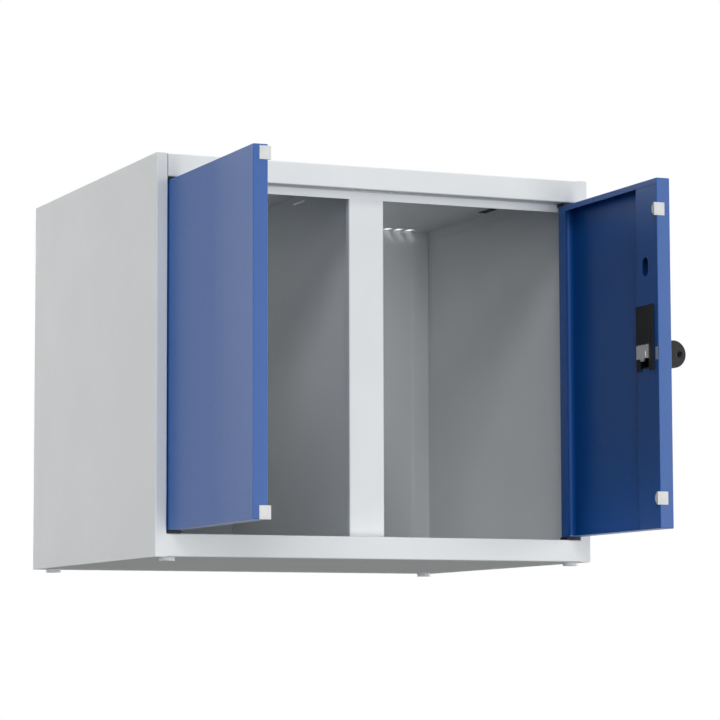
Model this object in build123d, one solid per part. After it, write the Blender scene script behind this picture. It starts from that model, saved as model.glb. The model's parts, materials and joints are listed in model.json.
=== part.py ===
from build123d import *
import math
import os

# Two-compartment sheet-steel locker box with two doors that close towards each other.
# Millimetres. X runs along the front, +Y goes into the box, +Z is up.
# The origin is the centre of the flat underside; the doors are modelled closed and
# then turned about their pivots to the open rest position.

# ---------------------------------------------------------------- driving sizes
# carcass
body_width = 600.0
body_depth = 500.0
body_height = 500.0
carcass_sheet = 1.0
bend_radius = 0.8
weld_flange = 15.0
seam_gap = 0.3

# how far a cutter runs past the face that it cuts
past = 1.0

# front frame
jamb_width = 15.0
fascia_height = 29.4
rail_height = 28.4
stop_depth = 22.4
stop_lip_height = 10.1
post_width = 48.2
post_return = 9.3
post_cover = 2.2
partition_flange = 15.0
partition_notch = 1.5

# doors
door_sheet = 0.8
door_thickness = 18.4
left_door_width = 302.2
door_meeting_gap = 1.4
door_gap_top = 4.6
door_gap_bottom = 4.0
door_side_gap = 1.0
door_edge_lip = 7.3
door_hinge_lip = 18.6
door_rim_chamfer = 0.6
stiffener_width = 54.4
stiffener_foot = 8.0
stiffener_end_gap = 0.3
lip_slit_width = 1.2
lip_slit_from_hinge = 99.0
open_angle = 90.0

# hinges
pivot_depth = 8.0
pin_diameter = 6.0
pin_head_diameter = 10.0
pin_head_height = 1.5
running_clearance = 0.05
bush_clearance = 0.1
bush_depth = 20.0
bush_boss_diameter = 10.0
bush_boss_fit = 0.1
bush_boss_proud = 1.0
bush_front_inset = 0.5
bush_chamfer = 0.8

# bumpers
bumper_height = 16.0
bumper_wrap = 10.6
bumper_tab = 6.5
bumper_stop_gap = 0.3
bumper_edge_proud = 0.6
bumper_chamfer = 5.0
left_bumper_top_inset = 10.0
left_bumper_bottom_inset = 8.0
right_bumper_top_inset = 39.0
right_bumper_bottom_inset = 37.0

# lock
lock_inset = 31.4
lock_height = 250.0
cover_width = 44.2
cover_edge_inset = 10.3
cover_thickness = 1.4
cover_above_axis = 60.0
cover_below_axis = 21.6
cover_notch_height = 3.0
cover_free_leg_width = 12.0
cover_hinge_leg_width = 11.2
cover_rim_width = 10.0
cover_rim_height = 1.2
cover_round = 0.8
case_clearance = 0.4
case_wall = 1.5
case_front = 5.4
case_top_inset = 3.0
bolt_width = 28.4
bolt_height = 17.6
bolt_below_axis = 6.5
bolt_proud = 4.0
bolt_clearance = 0.3
bolt_flange = 4.4
bolt_flange_thickness = 2.0
bolt_edge_bevel = 1.2
bolt_travel = 8.0
bolt_edge_inset = 20.9
ramp_proud = 0.5
ramp_edge = 4.9
ramp_tip_width = 0.6
ramp_height = 9.5
ramp_ledge = 2.2
ramp_length = 19.5
nub_width = 11.0
nub_tip_width = 4.0
nub_height = 3.4
nub_proud = 2.4
oblong_width = 14.5
oblong_height = 24.0
oblong_above_axis = 108.0
insert_width = 6.6
insert_height = 15.6
insert_thickness = 0.8
insert_below_axis = 1.8

# knob
knob_turn = 90.0
knob_disc_diameter = 34.4
knob_disc_thickness = 14.5
knob_disc_centre = 16.2
knob_hub_diameter = 27.0
knob_hub_height = 7.0
knob_hub_chamfer = 1.6
padlock_hole_diameter = 8.5
padlock_hole_reach = 24.6
rosette_diameter = 34.0
rosette_thickness = 2.6
knob_gap = 0.3
barrel_diameter = 18.0
barrel_skin_clearance = 0.1
thread_clearance = 0.05
spindle_diameter = 8.0
spindle_engagement = 4.0
nut_across_flats = 24.0
nut_thickness = 3.0
crank_diameter = 20.0
crank_thickness = 2.4
crank_pin_diameter = 3.0
crank_pin_reach = 2.2
yoke_play = 0.45
yoke_depth = 3.0

# openings in the carcass sheets
vent_width = 10.8
vent_length = 20.0
vent_pitch = 17.4
vent_count = 7
vent_side_inset = 36.5
vent_rear_inset = 13.0
ledge_slot_length = 34.0
ledge_slot_width = 11.0
ledge_hole_diameter = 10.6
ledge_hole_offset = 25.0
ledge_slot_depth = 10.5
rail_slot_length = 39.0
rail_slot_height = 2.4
rail_slot_drop = 9.4
rail_slot_behind_centre = -1.0
ceiling_slot_width = 9.0
ceiling_slot_length = 34.0
ceiling_slot_side_inset = 14.0
ceiling_slot_behind_centre = 21.5
slot_plug_rim = 0.8
slot_plug_rim_thickness = 1.0
slot_plug_fit = 0.1
fixing_hole_diameter = 7.0
fixing_spacing_x = 440.0
fixing_spacing_y = 400.0

# rear panel
rear_emboss_side = 24.6
rear_emboss_end = 50.0
rear_emboss_slope = 5.0
rear_emboss_depth = 1.0

# glides
foot_diameter = 20.0
foot_height = 4.5
foot_inset_x = 21.5
foot_inset_front = 17.0
foot_inset_rear = 25.0

# ---------------------------------------------------------------- derived places
left_x = -body_width / 2
right_x = body_width / 2
front_y = -body_depth / 2
rear_y = body_depth / 2
ceiling_z = body_height - carcass_sheet
fascia_bottom_z = body_height - fascia_height
stop_lip_bottom_z = fascia_bottom_z - stop_lip_height
stop_y = front_y + stop_depth
rear_panel_y = rear_y - 2 * carcass_sheet

door_bottom_z = rail_height + door_gap_bottom
door_top_z = fascia_bottom_z - door_gap_top
door_height = door_top_z - door_bottom_z
door_inner_y = front_y + door_thickness
hinge_edge_inset = jamb_width + door_side_gap
pivot_y = front_y + pivot_depth
left_pivot_x = left_x + hinge_edge_inset + pivot_depth
right_pivot_x = right_x - hinge_edge_inset - pivot_depth
left_free_x = left_x + hinge_edge_inset + left_door_width
right_free_x = left_free_x + door_meeting_gap

post_right_x = (left_free_x + right_free_x) / 2 - post_cover
post_left_x = post_right_x - post_width
post_centre_x = (post_left_x + post_right_x) / 2

pin_bore_diameter = pin_diameter + 2 * running_clearance

lock_x = right_free_x + lock_inset
cover_left_x = right_free_x + cover_edge_inset
cover_right_x = cover_left_x + cover_width
cover_top_z = lock_height + cover_above_axis
cover_bottom_z = lock_height - cover_below_axis
cover_face_y = door_inner_y + cover_thickness
bolt_left_x = right_free_x + bolt_edge_inset
bolt_right_x = bolt_left_x + bolt_width
bolt_bottom_z = lock_height - bolt_below_axis
bolt_top_z = bolt_bottom_z + bolt_height
bolt_face_y = door_inner_y + bolt_proud
bolt_head_back_y = cover_face_y + bolt_clearance
window_left_x = cover_left_x + cover_free_leg_width
window_right_x = cover_right_x - cover_hinge_leg_width
window_middle_x = (window_left_x + window_right_x) / 2
window_bottom_z = cover_bottom_z + cover_notch_height
window_top_z = bolt_top_z + bolt_clearance
neck_width = window_right_x - window_left_x - 2 * bolt_clearance
crank_radius = bolt_travel / 2 / math.sin(math.radians(knob_turn / 2))
bolt_back_y = door_inner_y - bolt_clearance - bolt_flange_thickness
case_front_y = front_y + case_front
crank_front_y = case_front_y + case_wall + bolt_clearance
crank_back_y = crank_front_y + crank_thickness
knob_back_y = front_y - rosette_thickness - knob_gap
spindle_bore_diameter = spindle_diameter + 2 * running_clearance


# ---------------------------------------------------------------- helpers
def block(x0, x1, y0, y1, z0, z1):
    """Box between two corners, given as ranges along X, Y and Z."""
    size = Box(x1 - x0, y1 - y0, z1 - z0)
    return Pos((x0 + x1) / 2, (y0 + y1) / 2, (z0 + z1) / 2) * size


def folded(plane, points, thickness, side, length, radius=bend_radius):
    """Sheet bent along an open outline, on one side of it, then drawn out."""
    outline = FilletPolyline(*points, radius=radius + thickness)
    section = make_face(offset(outline, amount=thickness, side=side))
    return extrude(plane * section, amount=length)


def rod(x, y, z, diameter, length, axis):
    """Cylinder that starts at a point and runs along an axis direction."""
    seat = Plane(origin=(x, y, z), z_dir=axis)
    return seat * extrude(Circle(diameter / 2), amount=length)


def mirror_x(solid):
    """The same piece on the other side of the box's middle plane."""
    return mirror(solid, about=Plane.YZ)


def write(node, solids):
    """One STEP file for each sub-part."""
    shape = solids if isinstance(solids, Compound) else Compound(children=[solids])
    shape.label = node
    export_step(shape, f"parts/{node}.step")


# ---------------------------------------------------------------- carcass
def side_panel():
    """Left side: rear flange, wall, front jamb strip and the leg behind it."""
    outline = [
        (left_x + weld_flange + carcass_sheet, rear_y),
        (left_x, rear_y),
        (left_x, front_y),
        (left_x + jamb_width, front_y),
        (left_x + jamb_width, stop_y),
    ]
    panel = folded(Plane.XY, outline, carcass_sheet, Side.LEFT, body_height)
    inner_x = left_x + carcass_sheet
    for z0, z1 in ((-past, carcass_sheet), (ceiling_z, body_height + past)):
        panel -= block(inner_x, left_x + jamb_width + past, front_y + carcass_sheet, stop_y + past, z0, z1)
    return panel + ground_seam(0, rail_height)


def ground_seam(z0, z1):
    """Weld that fills the left jamb's bend flush with the end of a front rail."""
    x1 = left_x + jamb_width
    return block(x1 - bend_radius - carcass_sheet, x1, front_y, front_y + carcass_sheet, z0, z1)


def panel_corner_cuts(rail_left_x, z0, z1):
    """Room for the two jamb strips at the ends of a front rail."""
    y0 = front_y - past
    y1 = stop_y + carcass_sheet + past
    left_cut = block(left_x - past, rail_left_x, y0, y1, z0, z1)
    right_cut = block(right_x - jamb_width, right_x + past, y0, y1, z0, z1)
    return left_cut + right_cut


def jamb_end_cuts(rail_left_x, z0, z1):
    """Room for the front skins of the two jamb strips in a flat sheet's bend."""
    y0 = front_y - past
    y1 = front_y + carcass_sheet
    left_cut = block(left_x, rail_left_x, y0, y1, z0, z1)
    right_cut = block(right_x - jamb_width, right_x, y0, y1, z0, z1)
    return left_cut + right_cut


def inner_width():
    """Clear width between the two side walls."""
    return body_width - 2 * carcass_sheet


def weld_strips(z0, z1):
    """The two side flanges of the top or bottom sheet, against the side walls."""
    y0 = stop_y + 2 * carcass_sheet
    y1 = rear_panel_y - carcass_sheet
    x0 = left_x + carcass_sheet
    strip = block(x0, x0 + carcass_sheet, y0, y1, z0, z1)
    return strip + mirror_x(strip)


def rounded_rear(panel):
    """Rear corners that follow the inside of the side panels' bends."""
    sharp = panel.edges().filter_by(Axis.Z).group_by(Axis.Y)[-1]
    return fillet(sharp, bend_radius)


def top_panel():
    """Top sheet, fascia, ledge over the doors and the stop lip behind it."""
    outline = [
        (rear_y - carcass_sheet, body_height),
        (front_y, body_height),
        (front_y, fascia_bottom_z),
        (stop_y + carcass_sheet, fascia_bottom_z),
    ]
    start = Plane.YZ.offset(left_x + carcass_sheet)
    deck = folded(start, outline, carcass_sheet, Side.LEFT, inner_width())
    rail_left_x = left_x + jamb_width + seam_gap
    deck -= panel_corner_cuts(rail_left_x, 0, ceiling_z)
    deck -= jamb_end_cuts(rail_left_x, ceiling_z, body_height + past)
    deck = rounded_rear(deck)
    lip = block(
        rail_left_x,
        right_x - jamb_width,
        stop_y,
        stop_y + carcass_sheet,
        stop_lip_bottom_z,
        fascia_bottom_z + carcass_sheet,
    )
    deck += lip
    deck += weld_strips(body_height - weld_flange, ceiling_z)
    return deck - ledge_openings() - ceiling_openings()


def ledge_openings():
    """Slot and two holes in the ledge over the middle post."""
    y = front_y + ledge_slot_depth
    z0 = fascia_bottom_z - past
    z1 = fascia_bottom_z + carcass_sheet + past
    cut = Pos(0, y, z0) * extrude(SlotOverall(ledge_slot_length, ledge_slot_width), amount=z1 - z0)
    for side in (-1, 1):
        x = side * ledge_hole_offset
        cut += rod(x, y, z0, ledge_hole_diameter, z1 - z0, (0, 0, 1))
    return cut + bush_holes(z0, z1)


def ceiling_openings():
    """Air slots near the rear corners and a plugged slot beside each wall."""
    z0 = ceiling_z - past
    z1 = body_height + past
    cuts = []
    y0 = rear_y - vent_rear_inset - vent_length / 2
    for side in (-1, 1):
        for i in range(vent_count):
            x = side * (right_x - vent_side_inset - i * vent_pitch)
            cuts.append(block(x - vent_width / 2, x + vent_width / 2, y0, y0 + vent_length, z0, z1))
        cuts.append(ceiling_slot_shape(side, z0, z1, 0))
    return cuts


def ceiling_slot_shape(side, z0, z1, grow):
    """Upright block with the outline of one ceiling slot, grown by a margin."""
    x = side * (right_x - ceiling_slot_side_inset)
    half_width = ceiling_slot_width / 2 + grow
    y0 = ceiling_slot_behind_centre - ceiling_slot_length / 2 - grow
    y1 = ceiling_slot_behind_centre + ceiling_slot_length / 2 + grow
    return block(x - half_width, x + half_width, y0, y1, z0, z1)


def slot_plug(side):
    """Plastic plug in a ceiling slot: flush with the deck, its rim under the sheet."""
    rim = ceiling_slot_shape(side, ceiling_z - slot_plug_rim_thickness, ceiling_z, slot_plug_rim)
    return rim + ceiling_slot_shape(side, ceiling_z, body_height, -slot_plug_fit)


def bush_holes(z0, z1):
    """Holes for the bosses of the two hinge bushes in one rail."""
    size = bush_boss_diameter + 2 * bush_boss_fit
    left = rod(left_pivot_x, pivot_y, z0, size, z1 - z0, (0, 0, 1))
    right = rod(right_pivot_x, pivot_y, z0, size, z1 - z0, (0, 0, 1))
    return left + right


def bottom_panel():
    """Tray: flat underside, front rail, ledge under the doors and its back lip."""
    outline = [
        (rear_y - carcass_sheet, 0),
        (front_y, 0),
        (front_y, rail_height),
        (stop_y, rail_height),
        (stop_y, rail_height - stop_lip_height),
    ]
    start = Plane.YZ.offset(left_x + carcass_sheet)
    tray = folded(start, outline, carcass_sheet, Side.RIGHT, inner_width())
    rail_left_x = left_x + jamb_width
    tray -= panel_corner_cuts(rail_left_x, carcass_sheet, rail_height + past)
    tray -= jamb_end_cuts(rail_left_x, -past, carcass_sheet)
    tray = rounded_rear(tray)
    tray += weld_strips(carcass_sheet, weld_flange)
    tray -= bush_holes(rail_height - carcass_sheet - past, rail_height + past)
    for sx in (-1, 1):
        for sy in (-1, 1):
            x = sx * fixing_spacing_x / 2
            y = sy * fixing_spacing_y / 2
            tray -= rod(x, y, -past, fixing_hole_diameter, carcass_sheet + 2 * past, (0, 0, 1))
    return tray


def rear_panel():
    """Back sheet with a shallow pressed field; its border rests on the flanges."""
    half_width = body_width / 2 - carcass_sheet - bend_radius
    border = block(
        -half_width,
        half_width,
        rear_panel_y,
        rear_panel_y + carcass_sheet,
        carcass_sheet,
        ceiling_z,
    )

    def field(y, grow):
        """Outline of the pressed field at one depth, larger all round by grow."""
        width = body_width - 2 * rear_emboss_side + 2 * grow
        height = body_height - 2 * rear_emboss_end + 2 * grow
        centre = Plane(origin=(0, y, body_height / 2), x_dir=(1, 0, 0), z_dir=(0, 1, 0))
        return centre * Rectangle(width, height)

    inner_y = rear_panel_y + rear_emboss_depth
    hollow = loft([field(rear_panel_y, 0), field(inner_y, -rear_emboss_slope)])
    outer_y = rear_panel_y + carcass_sheet
    bulge = loft([field(outer_y, 0), field(outer_y + rear_emboss_depth, -rear_emboss_slope)])
    return border + bulge - hollow


def centre_post():
    """Channel that the left door closes against, open towards the back."""
    outline = [
        (post_left_x, stop_y + post_return),
        (post_left_x, stop_y),
        (post_right_x, stop_y),
        (post_right_x, stop_y + post_return),
    ]
    foot = Plane.XY.offset(carcass_sheet)
    height = stop_lip_bottom_z - carcass_sheet
    return folded(foot, outline, carcass_sheet, Side.LEFT, height)


def partition():
    """Wall between the two compartments, flanged to the post and the rear panel."""
    x0 = post_centre_x - carcass_sheet / 2
    y0 = stop_y + carcass_sheet
    outline = [
        (x0 + partition_flange, y0),
        (x0, y0),
        (x0, rear_panel_y),
        (x0 + partition_flange, rear_panel_y),
    ]
    foot = Plane.XY.offset(carcass_sheet)
    wall = folded(foot, outline, carcass_sheet, Side.RIGHT, ceiling_z - carcass_sheet)
    z1 = ceiling_z
    notch_y = y0 + partition_notch
    wall -= block(x0 - past, x0 + partition_flange + past, y0 - past, notch_y, stop_lip_bottom_z, z1 + past)
    cutter = Plane.YZ.offset(x0 - past) * SlotOverall(rail_slot_length, rail_slot_height)
    slot_place = Pos(0, rail_slot_behind_centre, ceiling_z - rail_slot_drop)
    slot = slot_place * extrude(cutter, amount=carcass_sheet + 2 * past)
    return wall - slot


def foot_places():
    """Centres of the four glides."""
    front = front_y + foot_inset_front
    rear = rear_y - foot_inset_rear
    x = right_x - foot_inset_x
    return [(-x, front), (x, front), (-x, rear), (x, rear)]


def foot(x, y):
    """Flat plastic glide against the underside."""
    return rod(x, y, -foot_height, foot_diameter, foot_height, (0, 0, 1))


def hinge_bush(pivot_x, jamb_x, rail_z, up, gap):
    """Plastic block with a boss through the rail and a bore for the pivot pin."""
    away = 1 if up else -1
    side = 1 if pivot_x > jamb_x else -1
    near_x = jamb_x + side * bush_clearance
    far_x = jamb_x + side * (door_side_gap + door_thickness)
    y0 = front_y + bush_front_inset
    thickness = gap - bush_clearance
    z0, z1 = sorted((rail_z, rail_z + away * thickness))
    x0, x1 = sorted((near_x, far_x))
    body = block(x0, x1, y0, y0 + bush_depth, z0, z1)
    body = chamfer(body.edges().filter_by(Axis.Z), bush_chamfer)
    boss_length = carcass_sheet + bush_boss_proud
    body += rod(pivot_x, pivot_y, rail_z, bush_boss_diameter, boss_length, (0, 0, -away))
    bore_start = rail_z + away * (thickness + past)
    bore_length = thickness + boss_length + 2 * past
    return body - rod(pivot_x, pivot_y, bore_start, pin_bore_diameter, bore_length, (0, 0, -away))


# ---------------------------------------------------------------- doors, closed
def door_pan(hinge_x, free_x):
    """Folded pan: round hinge edge, four edge flanges, lips at the hinge edge and top."""
    side = 1 if free_x > hinge_x else -1
    pivot_x = hinge_x + side * pivot_depth

    def plan(inset):
        """Door outline seen from above, shrunk by an inset."""
        x_hinge = hinge_x + side * inset
        x_free = free_x - side * inset
        y_out = front_y + inset
        y_in = door_inner_y - inset
        reach = pivot_depth - inset
        knee = reach * math.sqrt(0.5)
        edge = [
            Line((x_free, y_out), (pivot_x, y_out)),
            ThreePointArc((pivot_x, y_out), (pivot_x - side * knee, pivot_y - knee), (x_hinge, pivot_y)),
            Polyline((x_hinge, pivot_y), (x_hinge, y_in), (x_free, y_in), (x_free, y_out)),
        ]
        return make_face(edge)

    shell = Pos(0, 0, door_bottom_z) * extrude(plan(0), amount=door_height)
    free_edges = shell.edges().filter_by(Axis.Z).group_by(Axis.X)[-1 if side > 0 else 0]
    shell = fillet(free_edges, door_sheet)
    front_edges = shell.faces().sort_by(Axis.Y)[0].edges().filter_by(Axis.X)
    shell = chamfer(front_edges, door_rim_chamfer)
    cavity_height = door_height - 2 * door_sheet
    shell -= Pos(0, 0, door_bottom_z + door_sheet) * extrude(plan(door_sheet), amount=cavity_height)
    opening_y = (door_inner_y - 2 * past, door_inner_y + past)
    x0, x1 = sorted((hinge_x + side * door_hinge_lip, free_x - side * door_sheet))
    shell -= block(x0, x1, *opening_y, door_bottom_z + door_sheet, door_top_z - door_edge_lip)
    for z in (door_bottom_z - past, door_top_z - door_sheet - past):
        shell -= rod(pivot_x, pivot_y, z, pin_bore_diameter, door_sheet + 2 * past, (0, 0, 1))
    return shell


def lip_slit(hinge_x, side):
    """Cutter for the narrow slit in a door's upper lip."""
    x = hinge_x + side * lip_slit_from_hinge
    half = lip_slit_width / 2
    lip_bottom_z = door_top_z - door_edge_lip
    cut_y = (door_inner_y - 2 * past, door_inner_y + past)
    return block(x - half, x + half, *cut_y, lip_bottom_z - past, door_top_z - door_sheet)


def door_stiffener(free_x, side):
    """Channel inside the free edge: face flush with the lips, wall, and foot on the skin."""
    face_x = free_x - side * (door_sheet + seam_gap)
    wall_x = free_x - side * stiffener_width
    outline = [
        (face_x, door_inner_y),
        (wall_x, door_inner_y),
        (wall_x, front_y + door_sheet),
        (wall_x + side * stiffener_foot, front_y + door_sheet),
    ]
    inner = Side.LEFT if side > 0 else Side.RIGHT
    z0 = door_bottom_z + door_sheet + stiffener_end_gap
    height = door_top_z - door_edge_lip - stiffener_end_gap - z0
    return folded(Plane.XY.offset(z0), outline, door_sheet, inner, height)


def pivot_pin(pivot_x, flange_z, away, length):
    """Headed pin: the head sits inside the pan and the shank goes out to the bush."""
    inner_z = flange_z - away * door_sheet
    head = rod(pivot_x, pivot_y, inner_z, pin_head_diameter, pin_head_height, (0, 0, -away))
    shank = rod(pivot_x, pivot_y, inner_z, pin_diameter, door_sheet + length, (0, 0, away))
    return head + shank


def bumper(free_x, side, z):
    """Clip-on buffer round the free edge, with a chamfered tab on the inside."""
    out_x = free_x + side * bumper_edge_proud
    tab_x = free_x - side * bumper_tab
    face_y = stop_y - bumper_stop_gap
    z0 = z - bumper_height / 2
    z1 = z + bumper_height / 2
    x0, x1 = sorted((tab_x, out_x))
    tab = block(x0, x1, door_inner_y, face_y, z0, z1)
    tab_corners = tab.edges().filter_by(Axis.Y).group_by(Axis.X)[0 if side > 0 else -1]
    tab = chamfer(tab_corners, bumper_chamfer)
    x0, x1 = sorted((free_x, out_x))
    wrap = block(x0, x1, door_inner_y - bumper_wrap, door_inner_y, z0, z1)
    return tab + wrap


# ---------------------------------------------------------------- lock, door closed
def lock_cover():
    """Black cover plate: a slot for the bolt, open at the bottom, and a raised rim."""
    plate = block(cover_left_x, cover_right_x, door_inner_y, cover_face_y, cover_bottom_z, cover_top_z)
    rim_x = cover_left_x + cover_rim_width
    rim_y = cover_face_y + cover_rim_height
    rim = block(cover_left_x, rim_x, door_inner_y, rim_y, cover_bottom_z, cover_top_z)
    plate += fillet(rim.edges().filter_by(Axis.Z).group_by(Axis.Y)[-1], cover_round)
    slot_y = (door_inner_y - past, rim_y + past)
    return plate - block(window_left_x, window_right_x, *slot_y, cover_bottom_z - past, window_top_z)


def case_span():
    """Left and right faces of the lock case, which guides the bolt's flanges."""
    half = neck_width / 2 + bolt_flange + bolt_clearance + case_wall
    return window_middle_x - half, window_middle_x + half


def case_heights():
    """Bottom and top faces of the lock case; its lower wall ends the cover's slot."""
    return window_bottom_z, cover_top_z - case_top_inset


def lock_case():
    """Open tray behind the cover that holds the crank and guides the bolt."""
    x0, x1 = case_span()
    z0, z1 = case_heights()
    w = case_wall
    tray = block(x0, x1, case_front_y, door_inner_y, z0, z1)
    tray -= block(x0 + w, x1 - w, case_front_y + w, door_inner_y + past, z0 + w, z1 - w)
    hole = barrel_diameter + 2 * bolt_clearance
    return tray - rod(lock_x, case_front_y - past, lock_height, hole, case_wall + 2 * past, (0, 1, 0))


def facing_in(x, y, z):
    """Plane over the door's inner side: its own X runs with X, its own Y runs up."""
    return Plane(origin=(x, y, z), x_dir=(1, 0, 0), z_dir=(0, -1, 0))


def bolt_ramp():
    """Raised ledge on the bolt's face with a hollow-ground ramp above it."""
    tip_x = ramp_edge + ramp_tip_width
    run = ramp_length - tip_x
    radius = (run**2 + ramp_height**2) / (2 * ramp_height)
    step = [(0, 0), (0, ramp_ledge), (ramp_edge, ramp_ledge), (ramp_edge, ramp_height), (tip_x, ramp_height)]
    edges = [
        Polyline(*step),
        RadiusArc((tip_x, ramp_height), (ramp_length, 0), radius),
        Line((ramp_length, 0), (0, 0)),
    ]
    seat = facing_in(bolt_left_x, bolt_face_y, bolt_bottom_z)
    return extrude(seat * make_face(edges), amount=-ramp_proud)


def bolt_nub():
    """Tapered tip under the middle of the bolt."""
    wide = nub_width / 2
    tip = nub_tip_width / 2
    outline = Polyline((-wide, 0), (-tip, -nub_height), (tip, -nub_height), (wide, 0), (-wide, 0))
    seat = facing_in(bolt_left_x + bolt_width / 2, bolt_head_back_y, bolt_bottom_z)
    return extrude(seat * make_face(outline), amount=-nub_proud)


def latch_bolt():
    """Die-cast sliding bolt: proud head, neck, retaining flanges and yoke slot."""
    z_span = (bolt_bottom_z, bolt_top_z)
    head = block(bolt_left_x, bolt_right_x, bolt_head_back_y, bolt_face_y, *z_span)
    front_corner = head.edges().filter_by(Axis.X).group_by(Axis.Z)[-1].sort_by(Axis.Y)[-1]
    head = chamfer(front_corner, bolt_edge_bevel)
    neck_half = neck_width / 2
    neck_x = (window_middle_x - neck_half, window_middle_x + neck_half)
    neck = block(*neck_x, bolt_back_y, bolt_head_back_y, *z_span)
    flange_x = (neck_x[0] - bolt_flange, neck_x[1] + bolt_flange)
    flange = block(*flange_x, bolt_back_y, bolt_back_y + bolt_flange_thickness, *z_span)
    return head + neck + flange + bolt_ramp() + bolt_nub() - yoke_slot()


def yoke_slot():
    """Level slot in the bolt's back for the crank pin."""
    pin = crank_pin_diameter / 2 + yoke_play
    near_x = lock_x + crank_radius * math.cos(math.radians(knob_turn / 2)) - pin
    far_x = lock_x + crank_radius + pin
    pin_z = lock_height + bolt_travel / 2
    return block(near_x, far_x, bolt_back_y - past, bolt_back_y + yoke_depth, pin_z - pin, pin_z + pin)


def edge_insert():
    """Small bright plate let into the stiffener beside the free edge."""
    x0 = right_free_x + door_sheet + seam_gap
    z = lock_height - insert_below_axis
    z_span = (z - insert_height / 2, z + insert_height / 2)
    return block(x0, x0 + insert_width, door_inner_y - insert_thickness, door_inner_y, *z_span)


def rosette():
    """Round plate outside the door with a threaded barrel through the skin."""
    plate = rod(lock_x, front_y, lock_height, rosette_diameter, rosette_thickness, (0, -1, 0))
    barrel_length = case_front + case_wall
    barrel = rod(lock_x, front_y, lock_height, barrel_diameter, barrel_length, (0, 1, 0))
    bore_length = rosette_thickness + barrel_length + 2 * past
    bore_y = front_y - rosette_thickness - past
    return plate + barrel - rod(lock_x, bore_y, lock_height, spindle_bore_diameter, bore_length, (0, 1, 0))


def lock_nut():
    """Flat hexagon nut that clamps the rosette from the inside of the skin."""
    seat = Plane(origin=(lock_x, front_y + door_sheet, lock_height), z_dir=(0, 1, 0))
    hexagon = RegularPolygon(nut_across_flats / 2, 6, major_radius=False)
    nut = seat * extrude(hexagon, amount=nut_thickness)
    thread = barrel_diameter + 2 * thread_clearance
    return nut - rod(lock_x, front_y, lock_height, thread, nut_thickness + 2 * past, (0, 1, 0))


def knob():
    """Turning handle: round hub with a disc-shaped fin that takes a padlock."""
    hub = rod(lock_x, knob_back_y, lock_height, knob_hub_diameter, knob_hub_height, (0, -1, 0))
    hub = chamfer(hub.edges().sort_by(Axis.Y)[0], knob_hub_chamfer)
    centre_y = front_y - knob_disc_centre
    half = knob_disc_thickness / 2
    disc = rod(lock_x - half, centre_y, lock_height, knob_disc_diameter, knob_disc_thickness, (1, 0, 0))
    reach = knob_disc_diameter / 2
    behind = (knob_back_y, front_y + reach)
    disc -= block(lock_x - reach, lock_x + reach, *behind, lock_height - reach, lock_height + reach)
    hole_y = front_y - padlock_hole_reach
    hole_x = lock_x - half - past
    hole_length = knob_disc_thickness + 2 * past
    hole = rod(hole_x, hole_y, lock_height, padlock_hole_diameter, hole_length, (1, 0, 0))
    socket_depth = spindle_engagement + past
    socket = rod(lock_x, knob_back_y + past, lock_height, spindle_bore_diameter, socket_depth, (0, -1, 0))
    return hub + disc - hole - socket


def knob_spindle():
    """Steel spindle from the knob's socket to the crank."""
    start = knob_back_y - spindle_engagement
    return rod(lock_x, start, lock_height, spindle_diameter, crank_front_y - start, (0, 1, 0))


def crank():
    """Disc on the spindle's inner end with the pin that drives the bolt."""
    disc = rod(lock_x, crank_front_y, lock_height, crank_diameter, crank_thickness, (0, 1, 0))
    angle = math.radians(knob_turn / 2)
    x = lock_x + crank_radius * math.cos(angle)
    z = lock_height + crank_radius * math.sin(angle)
    pin_length = bolt_back_y + crank_pin_reach - crank_back_y
    return disc + rod(x, crank_back_y, z, crank_pin_diameter, pin_length, (0, 1, 0))


def skin_openings(pan):
    """Hole in the right door's skin for the lock barrel."""
    hole = barrel_diameter + 2 * barrel_skin_clearance
    return pan - rod(lock_x, front_y - past, lock_height, hole, door_sheet + 2 * past, (0, 1, 0))


def lock_openings(stiffener):
    """Cut-outs in the right stiffener: lock case, oblong hole and edge insert."""
    x0, x1 = case_span()
    z0, z1 = case_heights()
    c = case_clearance
    stiffener -= block(x0 - c, x1 + c, case_front_y, door_inner_y + past, z0 - c, z1 + c)
    seat = facing_in(lock_x, door_inner_y + past, lock_height + oblong_above_axis)
    oblong = seat * extrude(Rot(0, 0, 90) * SlotOverall(oblong_height, oblong_width), amount=3 * past)
    return stiffener - oblong - edge_insert()


# ---------------------------------------------------------------- open positions
def opened(solid, pivot_x, angle):
    """Turn a closed door's piece about its pivot to the open position."""
    return solid.rotate(Axis((pivot_x, pivot_y, 0), (0, 0, 1)), angle)


def open_left(solid):
    """A left door's piece at rest, with the door open."""
    return opened(solid, left_pivot_x, -open_angle)


def open_right(solid):
    """A right door's piece at rest, with the door open."""
    return opened(solid, right_pivot_x, open_angle)


def write_carcass():
    """Sheets, plugs, glides and hinge bushes of the box."""
    left = side_panel()
    write("left_side_panel", left)
    write("right_side_panel", mirror_x(left + ground_seam(fascia_bottom_z, body_height)))
    write("top_panel", top_panel())
    write("bottom_panel", bottom_panel())
    write("rear_panel", rear_panel())
    write("centre_post", centre_post())
    write("partition", partition())
    write("left_slot_plug", slot_plug(-1))
    write("right_slot_plug", slot_plug(1))
    names = ("foot_front_left", "foot_front_right", "foot_rear_left", "foot_rear_right")
    for name, (x, y) in zip(names, foot_places()):
        write(name, foot(x, y))
    jambs = {
        "left": (left_pivot_x, left_x + jamb_width),
        "right": (right_pivot_x, right_x - jamb_width),
    }
    for name, (pivot_x, jamb_x) in jambs.items():
        write(f"{name}_bottom_bush", hinge_bush(pivot_x, jamb_x, rail_height, True, door_gap_bottom))
        write(f"{name}_top_bush", hinge_bush(pivot_x, jamb_x, fascia_bottom_z, False, door_gap_top))


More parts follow.
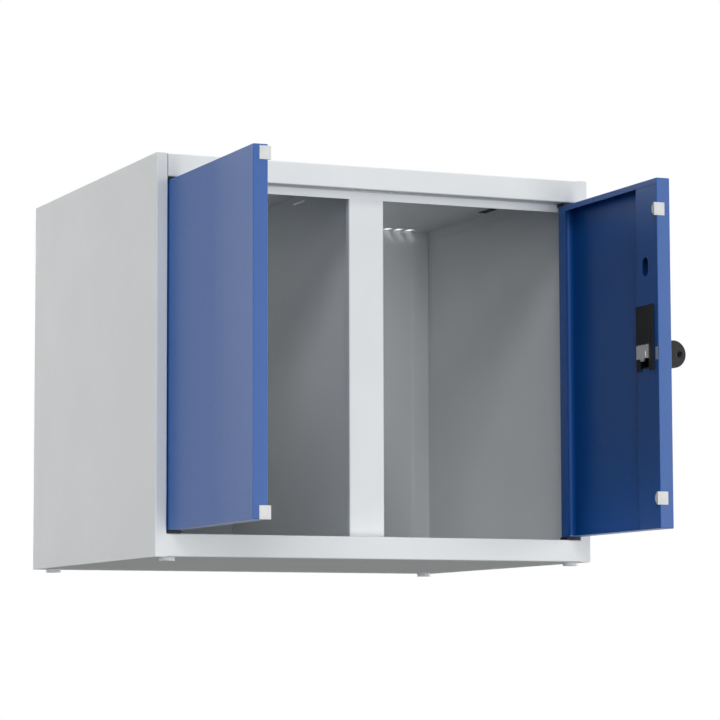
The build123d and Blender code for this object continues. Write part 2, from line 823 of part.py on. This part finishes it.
def write_doors():
    """Both doors with their stiffeners, pivots and bumpers."""
    doors = {
        "left": (left_x + hinge_edge_inset, left_free_x, 1, open_left),
        "right": (right_x - hinge_edge_inset, right_free_x, -1, open_right),
    }
    bumper_insets = {
        "left": (left_bumper_top_inset, left_bumper_bottom_inset),
        "right": (right_bumper_top_inset, right_bumper_bottom_inset),
    }
    for name, (hinge_x, free_x, side, turn) in doors.items():
        pan = door_pan(hinge_x, free_x)
        stiffener = door_stiffener(free_x, side)
        if name == "right":
            pan = skin_openings(pan - lip_slit(hinge_x, side))
            stiffener = lock_openings(stiffener)
        write(f"{name}_door_pan", turn(pan))
        write(f"{name}_door_stiffener", turn(stiffener))
        pivot_x = hinge_x + side * pivot_depth
        shank_top = door_gap_top + carcass_sheet
        shank_bottom = door_gap_bottom + carcass_sheet
        write(f"{name}_top_pivot", turn(pivot_pin(pivot_x, door_top_z, 1, shank_top)))
        write(f"{name}_bottom_pivot", turn(pivot_pin(pivot_x, door_bottom_z, -1, shank_bottom)))
        top_inset, bottom_inset = bumper_insets[name]
        write(f"{name}_upper_bumper", turn(bumper(free_x, side, door_top_z - top_inset)))
        write(f"{name}_lower_bumper", turn(bumper(free_x, side, door_bottom_z + bottom_inset)))


def write_lock():
    """Pieces of the lock, from the knob outside to the bolt inside."""
    pieces = {
        "lock_cover": lock_cover,
        "lock_case": lock_case,
        "edge_insert": edge_insert,
        "latch_bolt": latch_bolt,
        "lock_rosette": rosette,
        "lock_nut": lock_nut,
        "knob": knob,
        "knob_spindle": knob_spindle,
        "lock_crank": crank,
    }
    for name, make in pieces.items():
        write(name, open_right(make()))


os.makedirs("parts", exist_ok=True)
write_carcass()
write_doors()
write_lock()
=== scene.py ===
import json
import math

import bpy
from mathutils import Matrix, Vector


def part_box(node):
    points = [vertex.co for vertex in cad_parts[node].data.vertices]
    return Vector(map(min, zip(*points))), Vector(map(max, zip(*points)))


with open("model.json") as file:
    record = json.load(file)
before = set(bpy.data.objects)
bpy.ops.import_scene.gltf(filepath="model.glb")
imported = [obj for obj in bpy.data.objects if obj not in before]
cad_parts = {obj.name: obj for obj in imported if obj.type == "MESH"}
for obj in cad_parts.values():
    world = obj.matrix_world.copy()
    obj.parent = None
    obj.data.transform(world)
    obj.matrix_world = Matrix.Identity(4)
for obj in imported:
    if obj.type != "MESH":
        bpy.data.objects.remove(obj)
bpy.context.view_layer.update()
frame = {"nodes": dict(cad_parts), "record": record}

# Two-compartment locker box with blue doors. Every visible shape is a CAD node, and this script
# gives the nodes their finishes, a studio floor, lamps and a camera.
# Metres, in the row frame: X along the front, +Y into the box, +Z up.
nodes = frame["nodes"]
scene = bpy.context.scene

# ------------------------------------------------------------------ shader nodes
# Nearly all of a noise texture's values lie between these two.
NOISE_LOW = 0.3
NOISE_HIGH = 0.7


def add_node(tree, kind, values=None, links=None, **settings):
    """New shader node with its settings, the values of its inputs and the links into them."""
    node = tree.nodes.new(kind)
    for name, setting in settings.items():
        setattr(node, name, setting)
    for socket, value in (values or {}).items():
        node.inputs[socket].default_value = value
    for socket, source in (links or {}).items():
        tree.links.new(source, node.inputs[socket])
    return node


def spread(tree, value, low, high, from_low=NOISE_LOW, from_high=NOISE_HIGH):
    """A value mapped from one range to another; a noise value, unless its range is given."""
    ranges = {"From Min": from_low, "From Max": from_high, "To Min": low, "To Max": high}
    return add_node(tree, "ShaderNodeMapRange", ranges, {"Value": value}).outputs["Result"]


def calculated(tree, operation, values=None, links=None):
    """Result of a Math node with the given inputs, numbered from 0."""
    return add_node(tree, "ShaderNodeMath", values, links, operation=operation).outputs["Value"]


def any_ray(tree, *kinds):
    """1 for a ray of one of these kinds, in the Light Path node's words, and 0 for the others."""
    rays = add_node(tree, "ShaderNodeLightPath").outputs
    found = rays[kinds[0]]
    for kind in kinds[1:]:
        found = calculated(tree, "MAXIMUM", links={0: found, 1: rays[kind]})
    return found


# ------------------------------------------------------------------ finishes
CARCASS_GREY = (0.69, 0.711, 0.719)
DOOR_BLUE = (0.005, 0.077, 0.305)
BLACK = (0.004, 0.004, 0.0045)
BUMPER_GREY = (0.62, 0.63, 0.63)
GLIDE_GREY = (0.55, 0.57, 0.58)
CHROME = (0.90, 0.90, 0.91)
ZINC = (0.50, 0.53, 0.62)
STEEL = (0.52, 0.52, 0.53)

# CELLS are a noise texture's cells per metre, DEPTH is a bump's height in metres, and VARIATION
# is how far a colour drifts from the one that is written, as a share of it.
PAINT_CLOUD_CELLS = 9.0
PAINT_GLOSS_CELLS = 160.0
PAINT_VARIATION = 0.02
ORANGE_PEEL_CELLS = 520.0
DUST_CELLS = 2600.0
DUST_TO_PEEL = 0.2

PLASTIC_CLOUD_CELLS = 60.0
PLASTIC_GLOSS_CELLS = 900.0
PLASTIC_VARIATION = 0.1
GRAIN_CELLS = 3200.0
GRAIN_DEPTH = 0.00002

METAL_CLOUD_CELLS = 120.0
METAL_VARIATION = 0.08
POLISH_CELLS = 700.0
POLISH_STRETCH = (1.0, 1.0, 14.0)
POLISH_DEPTH = 0.000006


def new_material(name):
    """New material, its node tree, its Principled shader and the object's own coordinates."""
    material = bpy.data.materials.new(name)
    material.use_nodes = True
    tree = material.node_tree
    shader = tree.nodes["Principled BSDF"]
    place = add_node(tree, "ShaderNodeTexCoord").outputs["Object"]
    return material, tree, shader, place


def noise(tree, place, cells, detail=3.0, stretch=None):
    """Noise over the object's own coordinates, in cells per metre."""
    if stretch is not None:
        mapping = add_node(tree, "ShaderNodeMapping", {"Scale": stretch}, {"Vector": place})
        place = mapping.outputs["Vector"]
    values = {"Scale": cells, "Detail": detail}
    return add_node(tree, "ShaderNodeTexNoise", values, {"Vector": place}).outputs["Fac"]


def shaded(colour, factor):
    """A colour made darker or lighter by a factor."""
    return tuple(channel * factor for channel in colour)


def drifting_colour(tree, shader, value, dark, light):
    """Base colour that a noise value moves between two shades."""
    shades = {"A": (*dark, 1.0), "B": (*light, 1.0)}
    blend = {"Factor": spread(tree, value, 0.0, 1.0)}
    mix = add_node(tree, "ShaderNodeMix", shades, blend, data_type="RGBA")
    tree.links.new(mix.outputs["Result"], shader.inputs["Base Color"])


def uneven_gloss(tree, shader, value, gloss):
    """Roughness that a noise value moves over a range."""
    tree.links.new(spread(tree, value, *gloss), shader.inputs["Roughness"])


def bumped(tree, shader, *layers):
    """Bumps on top of each other; each layer is (noise value, depth)."""
    normal = None
    for height, depth in layers:
        bump = add_node(tree, "ShaderNodeBump", {"Distance": depth}, {"Height": height})
        if normal is not None:
            tree.links.new(normal, bump.inputs["Normal"])
        normal = bump.outputs["Normal"]
    tree.links.new(normal, shader.inputs["Normal"])


def powder_coat(name, colour, gloss, peel_depth):
    """Baked powder paint: orange peel, fine dust and a faint cloudiness."""
    material, tree, shader, place = new_material(name)
    dark = shaded(colour, 1.0 - PAINT_VARIATION)
    light = shaded(colour, 1.0 + PAINT_VARIATION)
    drifting_colour(tree, shader, noise(tree, place, PAINT_CLOUD_CELLS), dark, light)
    uneven_gloss(tree, shader, noise(tree, place, PAINT_GLOSS_CELLS), gloss)
    orange_peel = noise(tree, place, ORANGE_PEEL_CELLS, detail=1.0)
    dust = noise(tree, place, DUST_CELLS, detail=2.0)
    bumped(tree, shader, (orange_peel, peel_depth), (dust, peel_depth * DUST_TO_PEEL))
    return material


def moulded(name, colour, gloss, specular=0.5):
    """Moulded plastic with a spark-eroded grain."""
    material, tree, shader, place = new_material(name)
    shader.inputs["Specular IOR Level"].default_value = specular
    dark = shaded(colour, 1.0 - PLASTIC_VARIATION)
    light = shaded(colour, 1.0 + PLASTIC_VARIATION)
    drifting_colour(tree, shader, noise(tree, place, PLASTIC_CLOUD_CELLS), dark, light)
    uneven_gloss(tree, shader, noise(tree, place, PLASTIC_GLOSS_CELLS), gloss)
    bumped(tree, shader, (noise(tree, place, GRAIN_CELLS, detail=2.0), GRAIN_DEPTH))
    return material


def plated(name, colour, gloss, metallic=1.0):
    """Plated metal with fine polishing lines."""
    material, tree, shader, place = new_material(name)
    shader.inputs["Metallic"].default_value = metallic
    dark = shaded(colour, 1.0 - METAL_VARIATION)
    drifting_colour(tree, shader, noise(tree, place, METAL_CLOUD_CELLS), dark, colour)
    lines = noise(tree, place, POLISH_CELLS, detail=2.0, stretch=POLISH_STRETCH)
    uneven_gloss(tree, shader, lines, gloss)
    bumped(tree, shader, (lines, POLISH_DEPTH))
    return material


# One finish for each material slot of the record.
FINISHES = {
    "carcass_paint": powder_coat("carcass_powder", CARCASS_GREY, gloss=(0.42, 0.52), peel_depth=0.00003),
    "door_paint": powder_coat("door_powder", DOOR_BLUE, gloss=(0.385, 0.415), peel_depth=0.000012),
    "black_plastic": moulded("black_moulded", BLACK, gloss=(0.42, 0.55), specular=0.25),
    "bumper_plastic": moulded("bumper_moulded", BUMPER_GREY, gloss=(0.35, 0.45)),
    "glide_plastic": moulded("glide_moulded", GLIDE_GREY, gloss=(0.3, 0.4)),
    "bright_bolt": plated("bright_plate", CHROME, gloss=(0.14, 0.24), metallic=0.7),
    "zinc_insert": plated("zinc_plate", ZINC, gloss=(0.4, 0.5)),
    "pin_steel": plated("pin_steel", STEEL, gloss=(0.3, 0.42)),
}
for part in frame["record"]["subparts"]:
    mesh = nodes[part["node"]].data
    mesh.materials.clear()
    mesh.materials.append(FINISHES[part["material_slot"]])

# ------------------------------------------------------------------ floor
FLOOR_SIZE = 40.0
FLOOR_SHADE = 0.62
FLOOR_GLOW = 0.46


def floor_material():
    """White floor that keeps the object's shadow and is clear from underneath."""
    material = bpy.data.materials.new("studio_floor")
    material.use_nodes = True
    tree = material.node_tree
    tree.nodes.clear()
    matte_colour = (FLOOR_SHADE, FLOOR_SHADE, FLOOR_SHADE, 1.0)
    matte = add_node(tree, "ShaderNodeBsdfDiffuse", {"Color": matte_colour})
    glow = add_node(tree, "ShaderNodeEmission", {"Strength": FLOOR_GLOW})
    lit = add_node(tree, "ShaderNodeAddShader", links={0: matte.outputs[0], 1: glow.outputs[0]})
    clear = add_node(tree, "ShaderNodeBsdfTransparent")
    seen = any_ray(tree, "Is Camera Ray", "Is Glossy Ray")
    below = add_node(tree, "ShaderNodeNewGeometry").outputs["Backfacing"]
    above = calculated(tree, "SUBTRACT", {0: 1.0}, {1: below})
    shown = calculated(tree, "MULTIPLY", links={0: seen, 1: above})
    mix_links = {0: shown, 1: clear.outputs[0], 2: lit.outputs[0]}
    mix = add_node(tree, "ShaderNodeMixShader", links=mix_links)
    add_node(tree, "ShaderNodeOutputMaterial", links={"Surface": mix.outputs[0]})
    return material


floor_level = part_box("foot_front_left")[0].z
half_floor = FLOOR_SIZE / 2
corner_sides = ((-1, -1), (1, -1), (1, 1), (-1, 1))
corners = [(x * half_floor, y * half_floor, floor_level) for x, y in corner_sides]
floor_mesh = bpy.data.meshes.new("floor")
floor_mesh.from_pydata(corners, [], [(0, 1, 2, 3)])
floor_mesh.materials.append(floor_material())
floor = bpy.data.objects.new("floor", floor_mesh)
scene.collection.objects.link(floor)

# ------------------------------------------------------------------ light
# The world is a plain white backdrop to the rays that see it, and gives little light itself.
AMBIENT = 0.02
BACKDROP = 1.0

world = bpy.data.worlds.new("studio")
scene.world = world
world.use_nodes = True
sky = world.node_tree
background = sky.nodes["Background"]
seen = any_ray(sky, "Is Camera Ray", "Is Glossy Ray", "Is Transmission Ray")
strength = spread(sky, seen, AMBIENT, BACKDROP, from_low=0.0, from_high=1.0)
background.inputs["Color"].default_value = (1.0, 1.0, 1.0, 1.0)
sky.links.new(strength, background.inputs["Strength"])

# Each lamp: name, degrees round from the front towards the right, degrees above level,
# the brightness that it gives a white face turned to it, and whether gloss shows it.
LAMPS = (
    ("key", -25, 4, 0.21, False),
    ("high", -30, 33, 0.27, True),
    ("front_low", 5, -14, 0.37, True),
    ("front_right", 32, 4, 0.18, True),
    ("left", -95, -2, 0.34, False),
    ("right", 88, 4, 0.48, True),
    ("back", 175, 8, 0.48, True),
    ("overhead", 0, 90, 0.68, True),
)
SOFT_ANGLE = math.radians(22)
# A sun lamp of this strength makes a white matte face that is turned to it look white.
FULL_SUN = math.pi


def soft_lamp(name, round_from_front, above, brightness, glossy):
    """Broad distant lamp that shines from the given direction."""
    turn = math.radians(round_from_front)
    rise = math.radians(above)
    level = math.cos(rise)
    towards = Vector((math.sin(turn) * level, -math.cos(turn) * level, math.sin(rise)))
    lamp = bpy.data.lights.new(name, "SUN")
    lamp.energy = brightness * FULL_SUN
    lamp.angle = SOFT_ANGLE
    holder = bpy.data.objects.new(name, lamp)
    holder.visible_glossy = glossy
    holder.rotation_euler = towards.to_track_quat("Z", "Y").to_euler()
    scene.collection.objects.link(holder)


for lamp_settings in LAMPS:
    soft_lamp(*lamp_settings)

# ------------------------------------------------------------------ camera
LENS_MM = 151.7
SENSOR_MM = 36.0
CAMERA_PLACE = (-1.545, -3.754, -0.141)
YAW = math.radians(-23.43)
PITCH = math.radians(5.87)
ROLL = math.radians(-0.17)

ahead = Vector((-math.sin(YAW), math.cos(YAW), 0.0))
forward = ahead * math.cos(PITCH) + Vector((0.0, 0.0, math.sin(PITCH)))
level_right = Vector((math.cos(YAW), math.sin(YAW), 0.0))
level_up = level_right.cross(forward)
right = level_right * math.cos(ROLL) + level_up * math.sin(ROLL)
up = level_up * math.cos(ROLL) - level_right * math.sin(ROLL)
axes = Matrix((right, up, -forward)).transposed()

camera_data = bpy.data.cameras.new("camera")
camera_data.lens = LENS_MM
camera_data.sensor_width = SENSOR_MM
camera = bpy.data.objects.new("camera", camera_data)
camera.matrix_world = Matrix.Translation(CAMERA_PLACE) @ axes.to_4x4()
scene.collection.objects.link(camera)
scene.camera = camera

scene.view_settings.view_transform = "Standard"
